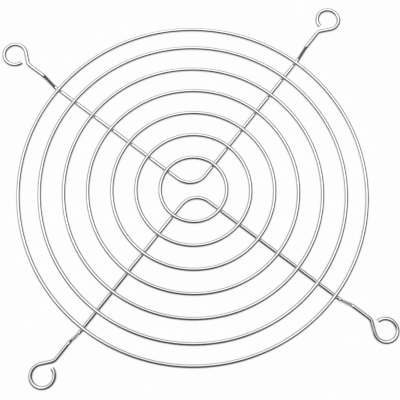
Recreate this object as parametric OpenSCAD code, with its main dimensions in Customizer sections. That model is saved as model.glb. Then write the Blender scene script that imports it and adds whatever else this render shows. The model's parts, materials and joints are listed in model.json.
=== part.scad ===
// Wire guard for a 120 mm fan. Concentric rings of round wire are welded across two ribs.
// Each rib is one length of wire: it is bent square at its middle, its two arms run out
// radially under the rings, step up past the outermost ring, and curl into screw eyes.
// The two ribs are the same, one turned half a turn from the other.
//
// The guard lies on the undersides of its ribs, at z = 0, with the side that faces the fan
// up. The origin is midway between the four screw eyes, and the eyes stand on the diagonals.

/* [Screw eyes] */
// Distance between neighbouring screw eyes, centre to centre
hole_spacing = 105; // [104:0.5:108]
// Radius of the wire's centre line round an eye
eye_r = 3.6; // [3.2:0.1:4]
// Angle that the wire turns aside by before it closes round the eye
eye_turn = 40; // [35:1:50]
// Radius of that turn, on the wire's centre line
turn_r = 2.5; // [1.5:0.1:3]
// Angle that the wire runs round the eye, up to its cut end
eye_sweep = 297; // [270:1:300]

/* [Rings] */
// Number of rings
ring_count = 7; // [5:1:8]
// Diameter of the ring wire
ring_wire = 1.4; // [1:0.1:1.6]
// Radius of the innermost ring, on the wire's centre line
first_ring_r = 10.7; // [9.5:0.1:12]
// Radius of the outermost ring, on the wire's centre line
last_ring_r = 55.9; // [55:0.1:56.5]
// Step from the last ring but one to the outermost ring, which is less than the others
rim_step = 6.7; // [5:0.1:9]

/* [Ribs] */
// Diameter of the rib wire
rib_wire = 1.5; // [1.2:0.1:1.8]
// Radius of the bend at the middle of a rib, on the wire's centre line
corner_r = 6.3; // [4:0.1:8]
// Depth that the rings are pressed into the ribs by their welds
weld_depth = 0.2; // [0.05:0.05:0.3]

/* [Step up to the eyes] */
// Height of the eyes above the rest of the rib
eye_rise = 3.5; // [2.5:0.1:4]
// Slope of the step
step_angle = 45; // [40:1:55]
// Radius of the step's two bends, on the wire's centre line
step_r = 2; // [1:0.1:2.2]
// Distance from the outermost ring's centre line to the foot of the step
step_gap = 1.5; // [1:0.1:2]

/* [Hidden] */

wire_fn = 40;      // facets round a wire
$fn = 160;         // facets round a full turn of a ring or a bend

hole_r = hole_spacing / sqrt(2);
rib_z = rib_wire / 2;
ring_z = rib_wire + ring_wire / 2 - weld_depth;
ring_step = (last_ring_r - rim_step - first_ring_r) / (ring_count - 2);
function ring_r(i) = i == ring_count ? last_ring_r : first_ring_r + (i - 1) * ring_step;

// The step is two equal and opposite bends with a straight slope between them.
step_start = last_ring_r + step_gap;
slope_len = (eye_rise - 2 * step_r * (1 - cos(step_angle))) / sin(step_angle);
step_run = 2 * step_r * sin(step_angle) + slope_len * cos(step_angle);

// The wire leaves the arm's line where a tangent to the eye at eye_turn crosses that line.
turn_at = hole_r - eye_r / sin(eye_turn);
turn_cut = turn_r * tan(eye_turn / 2);
tangent_len = eye_r / tan(eye_turn) - turn_cut;

// Wire draws down a little where it is bent, and each bend starts just inside the straight wire.
draw_down = 0.02;
bend_wire = rib_wire - draw_down;
lap = 0.1;

// Which way a bend goes, as its roll about the wire's own direction
up = 90;
right = 180;
down = 270;

// A straight length of rib wire from the origin along +X, with what follows at its far end
module straight(length) {
    rotate([0, 90, 0])
        cylinder(d = rib_wire, h = length, $fn = wire_fn);
    translate([length, 0, 0])
        children();
}

// An arc of drawn-down wire round +Z, which starts lap short of the angle from and ends lap past
// the angle to, inside the straight wire there
module arc(radius, from, to, lap_to = lap) {
    turn = 180 / (PI * radius);
    rotate_extrude(angle = to - from + (lap + lap_to) * turn, start = from - lap * turn)
        translate([radius, 0])
            circle(d = bend_wire, $fn = wire_fn);
}

// A bend of rib wire that leaves the origin along +X, with what follows at its far end
module bend(radius, angle, way) {
    rotate([way, 0, 0])
        translate([0, radius, 0]) {
            arc(radius, -90, angle - 90);
            rotate([0, 0, angle])
                translate([0, -radius, 0])
                    rotate([-way, 0, 0])
                        children();
        }
}

// One arm of a rib along +X, from the end of the middle bend to the cut end of the eye
module arm() {
    straight(step_start - corner_r)
        bend(step_r, step_angle, up)
            straight(slope_len)
                bend(step_r, step_angle, down)
                    straight(turn_at - turn_cut - step_start - step_run)
                        bend(turn_r, eye_turn, right)
                            straight(tangent_len)
                                translate([0, eye_r, 0])
                                    arc(eye_r, -90, eye_sweep - 90, lap_to = 0);
}

// The bare wire of the rib whose arms run out at 45 and 135 degrees
module rib_wire_form() {
    translate([0, 0, rib_z]) {
        translate([0, corner_r * sqrt(2), 0])
            arc(corner_r, 225, 315);
        for (side = [45, 135])
            rotate([0, 0, side])
                translate([corner_r, 0, 0])
                    arm();
    }
}

// The wire of ring i, counted from the innermost
module ring_wire_form(i) {
    translate([0, 0, ring_z])
        rotate_extrude()
            translate([ring_r(i), 0])
                circle(d = ring_wire, $fn = wire_fn);
}

module ring(i) {
    color("gainsboro")
        ring_wire_form(i);
}

// The rib with a saddle pressed into it under each ring, where the ring is welded
module upper_rib() {
    color("silver")
        difference() {
            rib_wire_form();
            for (i = [1:ring_count])
                ring_wire_form(i);
        }
}

module lower_rib() {
    rotate([0, 0, 180])
        upper_rib();
}

for (i = [1:ring_count])
    ring(i);
upper_rib();
lower_rib();
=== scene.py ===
"""Dresses a welded wire fan guard: bright-plated rings and ribs of drawn wire on a white table.

Every length of wire is a round section carried along its own centre line, and each crossing has
a small weld fillet. Lengths are in millimetres until new_mesh turns them into metres.
"""

import json
import math

import bpy
import numpy as np
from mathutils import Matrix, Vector


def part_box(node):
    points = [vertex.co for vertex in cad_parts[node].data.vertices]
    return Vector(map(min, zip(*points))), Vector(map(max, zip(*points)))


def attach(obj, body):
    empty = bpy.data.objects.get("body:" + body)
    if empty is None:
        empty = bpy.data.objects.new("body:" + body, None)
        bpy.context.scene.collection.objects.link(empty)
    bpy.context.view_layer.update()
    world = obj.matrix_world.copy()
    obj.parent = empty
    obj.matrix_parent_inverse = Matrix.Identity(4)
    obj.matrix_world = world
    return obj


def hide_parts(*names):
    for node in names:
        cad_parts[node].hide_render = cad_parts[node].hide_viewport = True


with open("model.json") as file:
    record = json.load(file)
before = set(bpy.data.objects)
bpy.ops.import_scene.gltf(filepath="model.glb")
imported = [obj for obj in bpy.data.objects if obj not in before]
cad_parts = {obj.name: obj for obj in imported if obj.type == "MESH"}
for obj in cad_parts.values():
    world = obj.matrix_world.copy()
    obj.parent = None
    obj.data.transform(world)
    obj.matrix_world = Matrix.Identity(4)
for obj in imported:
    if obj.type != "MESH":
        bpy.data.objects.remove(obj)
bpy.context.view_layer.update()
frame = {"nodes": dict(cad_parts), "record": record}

MM = 0.001
BODY = "root"
RING_NAMES = sorted(name for name in frame["nodes"] if name.startswith("ring_"))
ARM_AZIMUTHS = (45, 135, 225, 315)

# Ribs, as lengths and angles of the bent wire
CORNER_R = 6.3          # bend at the middle of a rib
STEP_GAP = 1.5          # from the outermost ring's centre line to the foot of the step
STEP_R = 2.0            # the step's two bends
STEP_ANGLE = 45.0
EYE_R = 3.6
EYE_TURN = 40.0         # the wire turns aside by this before it closes round the eye
TURN_R = 2.5
EYE_SWEEP = 297.0

# Wire surfaces
AROUND = 36             # faces round a wire
FINE_STEP = 0.25        # distance between sections in a bend
RING_STEP = 0.4         # distance between sections on a ring
LONG_STEP = 0.8         # distance between sections on a long straight
END_ROUNDING = 0.12     # the worn edge of a sheared end
END_ANGLES = (90, 67, 45, 22, 0)
RING_START = 135.0      # azimuth at which a ring's first section stands
WAVER = 0.03            # how far a ring strays from a true circle
LEVEL_WAVER = 0.4       # how much of that it strays up and down
WAVES = (2, 3, 4, 5)    # how many times a ring's waver repeats in a turn

# Welds
WELD_BLEND = 0.34       # how far a weld's fillet reaches between two wires
WELD_SCATTER = 0.2      # how much that differs from weld to weld, as a share
WELD_REACH = 1.0        # the furthest that a weld's surface goes from its axis
WELD_HALF_HEIGHT = 0.42
WELD_ROWS = 15
WELD_TRIES = 81         # places tried between the axis and WELD_REACH
SUNK = 0.012            # where it isn't a fillet, a weld's surface lies this far inside the wires

# Plating
DULL_PLATE = (0.74, 0.74, 0.735, 1)
CLEAR_PLATE = (0.86, 0.86, 0.85, 1)
LINE_STRETCH = (6.0, 6.0, 0.12)     # draw lines are fine across the wire and long along it
LINE_SCALE = 1.6
LINE_DEPTH = 0.004
TONE_SCALE = 0.09
SPECK_SCALE = 3.1
SPECK_EDGE = (0.62, 0.72)
POLISH = 0.07           # roughness of clean plating
LINE_HAZE = 0.05
SPECK_HAZE = 0.12

# Camera
LENS = 77.66
SENSOR = 36.0
CAMERA_TURN = (15.013, -1.373, -7.571)
CAMERA_PLACE = (-14.12, -73.73, 268.40)

# Table and light: a soft box overhead, a wide window low behind, and a shade round the camera
TABLE_HALF = 12000.0
PAPER = (0.86, 0.86, 0.86, 1)
TABLE_WHITENESS = 0.97
TABLE_GLOW = 0.92
ROOM_GLOW = 0.108
SOFT_BOX = (-0.106, 0.376, 0.920)
SOFT_BOX_GLOW = 1.5
SOFT_BOX_EDGE = (0.813, 0.833)
WINDOW = (-0.637, 0.754, -0.163)
WINDOW_GLOW = 0.384
WINDOW_EDGE = (0.498, 0.523)
SHADE_R = 84.3
SHADE_FADE = (0.7, 1.3)     # where it starts to thin out and where it ends, as shares of SHADE_R
SHADE_BEHIND = 0.0448       # how far behind the camera it stands, as a share of its distance
SHADE_SIDES = 48


class Value:
    """A shader socket. Arithmetic on it adds Math nodes to its tree."""

    def __init__(self, finish, socket):
        self.finish = finish
        self.socket = socket

    def _maths(self, operation, first, second):
        settings = {"operation": operation}
        return self.finish.add("ShaderNodeMath", settings, {0: first, 1: second})

    def __add__(self, other):
        return self._maths("ADD", self, other)

    def __radd__(self, other):
        return self._maths("ADD", other, self)

    def __sub__(self, other):
        return self._maths("SUBTRACT", self, other)

    def __rsub__(self, other):
        return self._maths("SUBTRACT", other, self)

    def __mul__(self, other):
        return self._maths("MULTIPLY", self, other)

    def __rmul__(self, other):
        return self._maths("MULTIPLY", other, self)


class Finish:
    """The node tree of a material or of the world."""

    def __init__(self, owner):
        owner.use_nodes = True
        self.tree = owner.node_tree
        self.tree.nodes.clear()

    def add(self, kind, settings=None, sockets=None, out=0):
        """Adds a node of that type with its settings, then its sockets' values or links."""
        node = self.tree.nodes.new(kind)
        for name, value in (settings or {}).items():
            setattr(node, name, value)
        for key, value in (sockets or {}).items():
            if isinstance(value, Value):
                self.tree.links.new(value.socket, node.inputs[key])
            else:
                node.inputs[key].default_value = value
        if not node.outputs:
            return None
        return Value(self, node.outputs[out])

    def smooth(self, value, low, high):
        """0 below low, 1 above high, with a smooth step between."""
        settings = {"interpolation_type": "SMOOTHSTEP"}
        sockets = {"Value": value, "From Min": low, "From Max": high}
        return self.add("ShaderNodeMapRange", settings, sockets)

    def ray(self, kind):
        """1 for rays of that kind, such as "Is Camera Ray", and 0 for others."""
        return self.add("ShaderNodeLightPath", out=kind)

    def mixed(self, factor, first, second):
        """Two shaders mixed: all the first at 0, all the second at 1."""
        return self.add("ShaderNodeMixShader", sockets={0: factor, 1: first, 2: second})

    def glow(self, level):
        """A white light of that strength."""
        return self.add("ShaderNodeEmission", sockets={"Color": (1, 1, 1, 1), "Strength": level})

    def show(self, shader):
        self.add("ShaderNodeOutputMaterial", sockets={"Surface": shader})


def material(name):
    made = bpy.data.materials.new(name)
    return made, Finish(made)


def spin(azimuth):
    """The matrix that turns rows of points about +Z by that azimuth, in degrees."""
    angle = math.radians(azimuth)
    cosine, sine = math.cos(angle), math.sin(angle)
    return np.array([[cosine, sine, 0], [-sine, cosine, 0], [0, 0, 1]])


def circle(count):
    """That many angles, evenly round a full turn from 0."""
    return np.arange(count) * 2 * math.pi / count


class WirePath:
    """A wire's centre line, laid down piece by piece from a start and three directions.

    Each piece adds sections at even steps. A section is its place, the wire's direction, and the
    directions to its left and above it, which turn with the wire without twisting about it.
    """

    def __init__(self, place, ahead, left, above):
        self.places = [np.array([place], float)]
        self.turns = [np.array([[ahead, left, above]], float)]

    def straight(self, length, step=LONG_STEP):
        """place(s) = start + s * ahead, with the directions unchanged."""
        count = max(2, math.ceil(length / step))
        along = np.linspace(0, length, count + 1)[1:, None]
        start, turn = self.places[-1][-1], self.turns[-1][-1]
        self.places.append(start + along * turn[0])
        self.turns.append(np.repeat(turn[None], count, axis=0))
        return self

    def bend(self, radius, angle, towards):
        """place(t) = start + radius * (sin t * ahead + (1 - cos t) * side), for t up to angle.

        towards names the side that the wire turns to: (left, above) as two signs.
        """
        count = max(4, math.ceil(math.radians(angle) * radius / FINE_STEP))
        angles = np.linspace(0, math.radians(angle), count + 1)[1:]
        sine, cosine = np.sin(angles)[:, None], np.cos(angles)[:, None]
        start, (ahead, left, above) = self.places[-1][-1], self.turns[-1][-1]
        side = towards[0] * left + towards[1] * above
        self.places.append(start + radius * (sine * ahead + (1 - cosine) * side))
        new_side = cosine * side - sine * ahead
        turn = np.repeat(self.turns[-1][-1][None], count, axis=0)
        turn[:, 0] = cosine * ahead + sine * side
        if towards[0]:
            turn[:, 1] = towards[0] * new_side
        else:
            turn[:, 2] = towards[1] * new_side
        self.turns.append(turn)
        return self

    def sections(self):
        return np.concatenate(self.places), np.concatenate(self.turns)


def wire_mesh(name, places, lefts, aboves, radius, closed):
    """A round wire: point(s, a) = place(s) + radius(s) * (cos a * left(s) + sin a * above(s)).

    A closed wire's last section joins its first. An open wire's ends are flat, with a worn edge.
    Each point also keeps the place that it would have on a straight wire: its place across the
    section and its distance along the wire.
    """
    radii = np.full(len(places), radius, float)
    along = np.r_[0, np.cumsum(np.linalg.norm(np.diff(places, axis=0), axis=1))]
    if not closed:
        places, lefts, aboves, radii, along = round_ends(places, lefts, aboves, radii, along)
    angles = circle(AROUND)
    out = lefts[:, None] * np.cos(angles)[:, None] + aboves[:, None] * np.sin(angles)[:, None]
    points = places[:, None] + radii[:, None, None] * out
    across, up = radius * np.cos(angles), radius * np.sin(angles)
    straightened = np.stack(np.broadcast_arrays(across, up, along[:, None]), axis=2)
    faces = grid_faces(len(places), AROUND, closed)[:, ::-1].tolist()
    if not closed:
        last = AROUND * (len(places) - 1)
        faces.append(list(range(AROUND))[::-1])
        faces.append(list(range(last, last + AROUND)))
    return new_mesh(name, points.reshape(-1, 3), faces, straightened.reshape(-1, 3))


def round_ends(places, lefts, aboves, radii, along):
    """Replaces each end section by a few on a quarter circle of END_ROUNDING.

    At angle q from the wire's side to its flat end, a section stands END_ROUNDING * (1 - sin q)
    from the end and is END_ROUNDING * (1 - cos q) smaller.
    """
    quarter = np.radians(END_ANGLES)
    smaller = END_ROUNDING * (1 - np.cos(quarter))
    inset = END_ROUNDING * (1 - np.sin(quarter))
    count = len(quarter)
    first, last = places[1] - places[0], places[-1] - places[-2]
    head = places[0] + inset[:, None] * first / np.linalg.norm(first)
    tail = places[-1] - inset[::-1, None] * last / np.linalg.norm(last)
    return (
        np.concatenate([head, places[1:-1], tail]),
        repeat_ends(lefts, count),
        repeat_ends(aboves, count),
        np.concatenate([radii[0] - smaller, radii[1:-1], radii[-1] - smaller[::-1]]),
        np.concatenate([along[0] + inset, along[1:-1], along[-1] - inset[::-1]]),
    )


def repeat_ends(rows, count):
    """The same rows with the first and the last each there that many times."""
    return np.concatenate([np.repeat(rows[:1], count, 0), rows[1:-1], np.repeat(rows[-1:], count, 0)])


def grid_faces(rows, columns, closed):
    """Four-sided faces between the rows of a grid whose columns close on themselves."""
    row = np.arange(rows if closed else rows - 1)[:, None]
    column = np.arange(columns)[None, :]
    after_row, after_column = (row + 1) % rows, (column + 1) % columns
    corners = [
        row * columns + column,
        after_row * columns + column,
        after_row * columns + after_column,
        row * columns + after_column,
    ]
    return np.stack(np.broadcast_arrays(*corners), axis=2).reshape(-1, 4)


def new_mesh(name, points, faces, straightened=None):
    """A smooth-shaded object at the origin from points in millimetres."""
    mesh = bpy.data.meshes.new(name)
    mesh.from_pydata((points * MM).tolist(), [], faces)
    mesh.update()
    mesh.shade_smooth()
    if straightened is not None:
        attribute = mesh.attributes.new("straightened", "FLOAT_VECTOR", "POINT")
        attribute.data.foreach_set("vector", np.ascontiguousarray(straightened, np.float32).ravel())
    made = bpy.data.objects.new(name, mesh)
    bpy.context.scene.collection.objects.link(made)
    return made


def ring_sizes(node):
    """(radius of the centre line, height of the centre line, radius of the wire) from the frame."""
    low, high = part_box(node)
    wire_r = (high.z - low.z) / 2 / MM
    return (high.x - low.x) / 2 / MM - wire_r, (low.z + high.z) / 2 / MM, wire_r


def make_ring(node, draw):
    """place(t) = (radius + waver(t)) * (cos t, sin t) at the ring's height plus a smaller waver.

    Each waver is a sum of cosines that repeat a few times in a turn.
    """
    radius, height, wire_r = ring_sizes(node)
    count = math.ceil(2 * math.pi * radius / RING_STEP)
    angles = math.radians(RING_START) + circle(count)
    waves = np.array(WAVES)[:, None]
    phases = draw.uniform(0, 2 * math.pi, (2, len(WAVES), 1))
    stray = WAVER / 2 * np.cos(waves * angles + phases).sum(axis=1)
    out = np.stack([np.cos(angles), np.sin(angles), 0 * angles], axis=1)
    places = (radius + stray[0])[:, None] * out
    places[:, 2] = height + LEVEL_WAVER * stray[1]
    aboves = np.repeat([[0.0, 0.0, 1.0]], count, axis=0)
    made = wire_mesh(node + "_wire", places, -out, aboves, wire_r, closed=True)
    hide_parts(node)
    return made


def arm_sections(rib_r, last_ring_r, eye):
    """The sections of a rib's arm along +X, from the end of the middle bend to the eye's cut end.

    The step's slope takes up the height that its two bends leave, and the wire turns aside where
    a tangent to the eye meets the arm's own line.
    """
    steep, aside = math.radians(STEP_ANGLE), math.radians(EYE_TURN)
    rise = eye[2] - rib_r
    slope = (rise - 2 * STEP_R * (1 - math.cos(steep))) / math.sin(steep)
    step_run = 2 * STEP_R * math.sin(steep) + slope * math.cos(steep)
    step_start = last_ring_r + STEP_GAP
    turn_cut = TURN_R * math.tan(aside / 2)
    turn_start = math.hypot(eye[0], eye[1]) - EYE_R / math.sin(aside) - turn_cut
    path = WirePath((CORNER_R, 0, rib_r), (1, 0, 0), (0, 1, 0), (0, 0, 1))
    path.straight(step_start - CORNER_R)
    path.bend(STEP_R, STEP_ANGLE, (0, 1))
    path.straight(slope, FINE_STEP)
    path.bend(STEP_R, STEP_ANGLE, (0, -1))
    path.straight(turn_start - step_start - step_run, FINE_STEP)
    path.bend(TURN_R, EYE_TURN, (-1, 0))
    path.straight(EYE_R / math.tan(aside) - turn_cut, FINE_STEP)
    path.bend(EYE_R, EYE_SWEEP, (1, 0))
    return path.sections()


def make_rib(node, middle, arm, rib_r):
    """Two arms, 90 degrees apart, joined by a bend of CORNER_R whose middle is at that azimuth.

    The first arm is walked from its eye inwards, so its directions ahead and left are reversed.
    """
    places, turns = arm
    near, far = spin(middle + 45), spin(middle - 45)
    near_places, near_turns = (places @ near)[::-1], (turns @ near)[::-1].copy()
    near_turns[:, :2] *= -1
    corner = WirePath(near_places[-1], *near_turns[-1])
    corner_places, corner_turns = corner.bend(CORNER_R, 90, (1, 0)).sections()
    all_places = np.concatenate([near_places, corner_places[1:], (places @ far)[1:]])
    all_turns = np.concatenate([near_turns, corner_turns[1:], (turns @ far)[1:]])
    lefts, aboves = all_turns[:, 1], all_turns[:, 2]
    made = wire_mesh(node + "_wire", all_places, lefts, aboves, rib_r, closed=False)
    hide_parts(node)
    return made


def weld_points(ring, rib_r, azimuth, draw):
    """One weld's skin: for each direction and height, how far out a blend of the two wires reaches.

    The blend is min(a, b) - h * h * k / 4 with h = max(k - |a - b|, 0) / k, where a and b are the
    distances from the ring's wire and the rib's wire and k is the reach of the fillet. The skin
    lies where the blend first comes out, found between two of the places tried.
    """
    ring_r, ring_z, ring_wire = ring
    blend = WELD_BLEND * draw.uniform(1 - WELD_SCATTER, 1 + WELD_SCATTER)
    middle = (ring_z - ring_wire + 2 * rib_r) / 2
    heights = middle + WELD_HALF_HEIGHT * np.linspace(-1, 1, WELD_ROWS)
    angles = circle(AROUND)
    reach = np.linspace(0, WELD_REACH, WELD_TRIES)
    x = reach * np.cos(angles)[None, :, None]
    y = reach * np.sin(angles)[None, :, None]
    z = heights[:, None, None]
    from_ring = np.hypot(np.hypot(ring_r + x, y) - ring_r, z - ring_z) - ring_wire
    from_rib = np.hypot(y, z - rib_r) - rib_r
    near = np.maximum(blend - np.abs(from_ring - from_rib), 0) / blend
    outside = np.minimum(from_ring, from_rib) - near * near * blend / 4 + SUNK
    beyond = outside > 0
    first = np.where(beyond.any(axis=2), beyond.argmax(axis=2), len(reach) - 1)
    before = np.maximum(first - 1, 0)
    low = np.take_along_axis(outside, before[..., None], 2)[..., 0]
    high = np.take_along_axis(outside, first[..., None], 2)[..., 0]
    part = np.clip(-low / np.where(high > low, high - low, 1), 0, 1)
    far = reach[before] + part * (reach[first] - reach[before])
    skin = [ring_r + far * np.cos(angles), far * np.sin(angles), heights[:, None]]
    return np.stack(np.broadcast_arrays(*skin), axis=2).reshape(-1, 3) @ spin(azimuth)


def make_welds(name, ring, rib_r, draw):
    """The four welds of a ring, one on each arm, each closed by a flat face above and below."""
    points = np.concatenate([weld_points(ring, rib_r, azimuth, draw) for azimuth in ARM_AZIMUTHS])
    sides = grid_faces(WELD_ROWS, AROUND, False)
    faces = []
    for weld in range(len(ARM_AZIMUTHS)):
        first = weld * AROUND * WELD_ROWS
        last = first + AROUND * (WELD_ROWS - 1)
        faces += (sides + first)[:, ::-1].tolist()
        faces.append(list(range(first, first + AROUND))[::-1])
        faces.append(list(range(last, last + AROUND)))
    return new_mesh(name, points, faces, points)


def plated_wire():
    """Bright plating over drawn wire: long fine draw lines, a slow change of tone, small specks."""
    made, finish = material("bright plated wire")
    place = finish.add("ShaderNodeAttribute", {"attribute_name": "straightened"}, out="Vector")
    stretched = finish.add("ShaderNodeMapping", sockets={"Vector": place, "Scale": LINE_STRETCH})
    lines = finish.add(
        "ShaderNodeTexNoise", sockets={"Vector": stretched, "Scale": LINE_SCALE, "Detail": 4.0}
    )
    slow = finish.add(
        "ShaderNodeTexNoise", sockets={"Vector": place, "Scale": TONE_SCALE, "Detail": 2.0}
    )
    specks = finish.add(
        "ShaderNodeTexNoise", sockets={"Vector": place, "Scale": SPECK_SCALE, "Detail": 3.0}
    )
    tone = finish.add(
        "ShaderNodeMix",
        {"data_type": "RGBA"},
        {"Factor": slow, "A": DULL_PLATE, "B": CLEAR_PLATE},
        out=2,
    )
    rough = POLISH + LINE_HAZE * lines + SPECK_HAZE * finish.smooth(specks, *SPECK_EDGE)
    bump = finish.add(
        "ShaderNodeBump", sockets={"Height": lines, "Strength": 0.25, "Distance": LINE_DEPTH * MM}
    )
    finish.show(finish.add(
        "ShaderNodeBsdfPrincipled",
        sockets={"Base Color": tone, "Metallic": 1.0, "Roughness": rough, "Normal": bump},
    ))
    return made


def dress(piece, finish):
    piece.data.materials.append(finish)
    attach(piece, BODY)


def make_table():
    """A white table top, which the camera and the bright wire see as white."""
    corners = np.array([[-1, -1, 0], [1, -1, 0], [1, 1, 0], [-1, 1, 0]], float)
    top = new_mesh("table_top", TABLE_HALF * corners, [[0, 1, 2, 3]])
    made, finish = material("white table")
    camera_ray = finish.ray("Is Camera Ray")
    seen = camera_ray + finish.ray("Is Glossy Ray") + finish.ray("Is Transmission Ray")
    once = finish.add("ShaderNodeMath", {"operation": "MINIMUM"}, {0: seen, 1: 1.0})
    paper = finish.add("ShaderNodeBsdfDiffuse", sockets={"Color": PAPER})
    white = finish.glow(camera_ray + TABLE_GLOW * (1 - camera_ray))
    finish.show(finish.mixed(TABLE_WHITENESS * once, paper, white))
    top.data.materials.append(made)


def light_room():
    """A dim room with a soft box overhead and a wide window low on one side.

    Each light fills the directions that are within a soft-edged cone round its own direction.
    """
    world = bpy.data.worlds.new("studio")
    bpy.context.scene.world = world
    finish = Finish(world)
    direction = finish.add("ShaderNodeTexCoord", out="Generated")
    glow = ROOM_GLOW
    for centre, level, edge in (
        (SOFT_BOX, SOFT_BOX_GLOW, SOFT_BOX_EDGE),
        (WINDOW, WINDOW_GLOW, WINDOW_EDGE),
    ):
        facing = finish.add(
            "ShaderNodeVectorMath", {"operation": "DOT_PRODUCT"}, {0: direction, 1: centre}, "Value"
        )
        glow = glow + (level - glow) * finish.smooth(facing, *edge)
    glow = glow + (1 - glow) * finish.ray("Is Camera Ray")
    sky = finish.add("ShaderNodeBackground", sockets={"Color": (1, 1, 1, 1), "Strength": glow})
    finish.add("ShaderNodeOutputWorld", sockets={"Surface": sky})


def make_shade():
    """A dim round shade behind the camera, which only the wire's reflections see."""
    place = np.array(CAMERA_PLACE) * (1 + SHADE_BEHIND)
    back = place / np.linalg.norm(place)
    right = np.cross([0, 0, 1.0], back)
    right = right / np.linalg.norm(right)
    above = np.cross(back, right)
    angles = circle(SHADE_SIDES)
    fade_start, rim = SHADE_R * np.array(SHADE_FADE)
    points = place + rim * (np.cos(angles)[:, None] * right + np.sin(angles)[:, None] * above)
    shade = new_mesh("shade", points, [list(range(SHADE_SIDES))])
    made, finish = material("dim shade")
    where = finish.add("ShaderNodeTexCoord", out="Object")
    apart = finish.add(
        "ShaderNodeVectorMath", {"operation": "DISTANCE"}, {0: where, 1: Vector(place) * MM}, "Value"
    )
    solid = 1 - finish.smooth(apart, fade_start * MM, rim * MM)
    clear = finish.add("ShaderNodeBsdfTransparent")
    finish.show(finish.mixed(solid, clear, finish.glow(0.0)))
    shade.data.materials.append(made)
    shade.visible_camera = False
    shade.visible_diffuse = False
    shade.visible_shadow = False


def place_camera():
    data = bpy.data.cameras.new("camera")
    data.lens = LENS
    data.sensor_width = SENSOR
    data.clip_start = 0.01
    camera = bpy.data.objects.new("camera", data)
    camera.location = Vector(CAMERA_PLACE) * MM
    camera.rotation_euler = [math.radians(angle) for angle in CAMERA_TURN]
    bpy.context.scene.collection.objects.link(camera)
    bpy.context.scene.camera = camera


def make_guard():
    """The rings, then the ribs, whose undersides lie on the table, then the welds of each ring."""
    draw = np.random.default_rng(7)
    finish = plated_wire()
    rings = {name: ring_sizes(name) for name in RING_NAMES}
    eye = [part / MM for part in frame["record"]["mounts"][0]["pos_m"]]
    rib_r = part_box("upper_rib")[1].z / MM - eye[2]
    last_ring_r = max(size[0] for size in rings.values())
    for name in RING_NAMES:
        dress(make_ring(name, draw), finish)
    arm = arm_sections(rib_r, last_ring_r, eye)
    for name, middle in (("upper_rib", 90), ("lower_rib", 270)):
        dress(make_rib(name, middle, arm, rib_r), finish)
    for name in RING_NAMES:
        dress(make_welds(name + "_welds", rings[name], rib_r, draw), finish)


bpy.context.scene.view_settings.view_transform = "Standard"
place_camera()
make_guard()
make_table()
make_shade()
light_room()
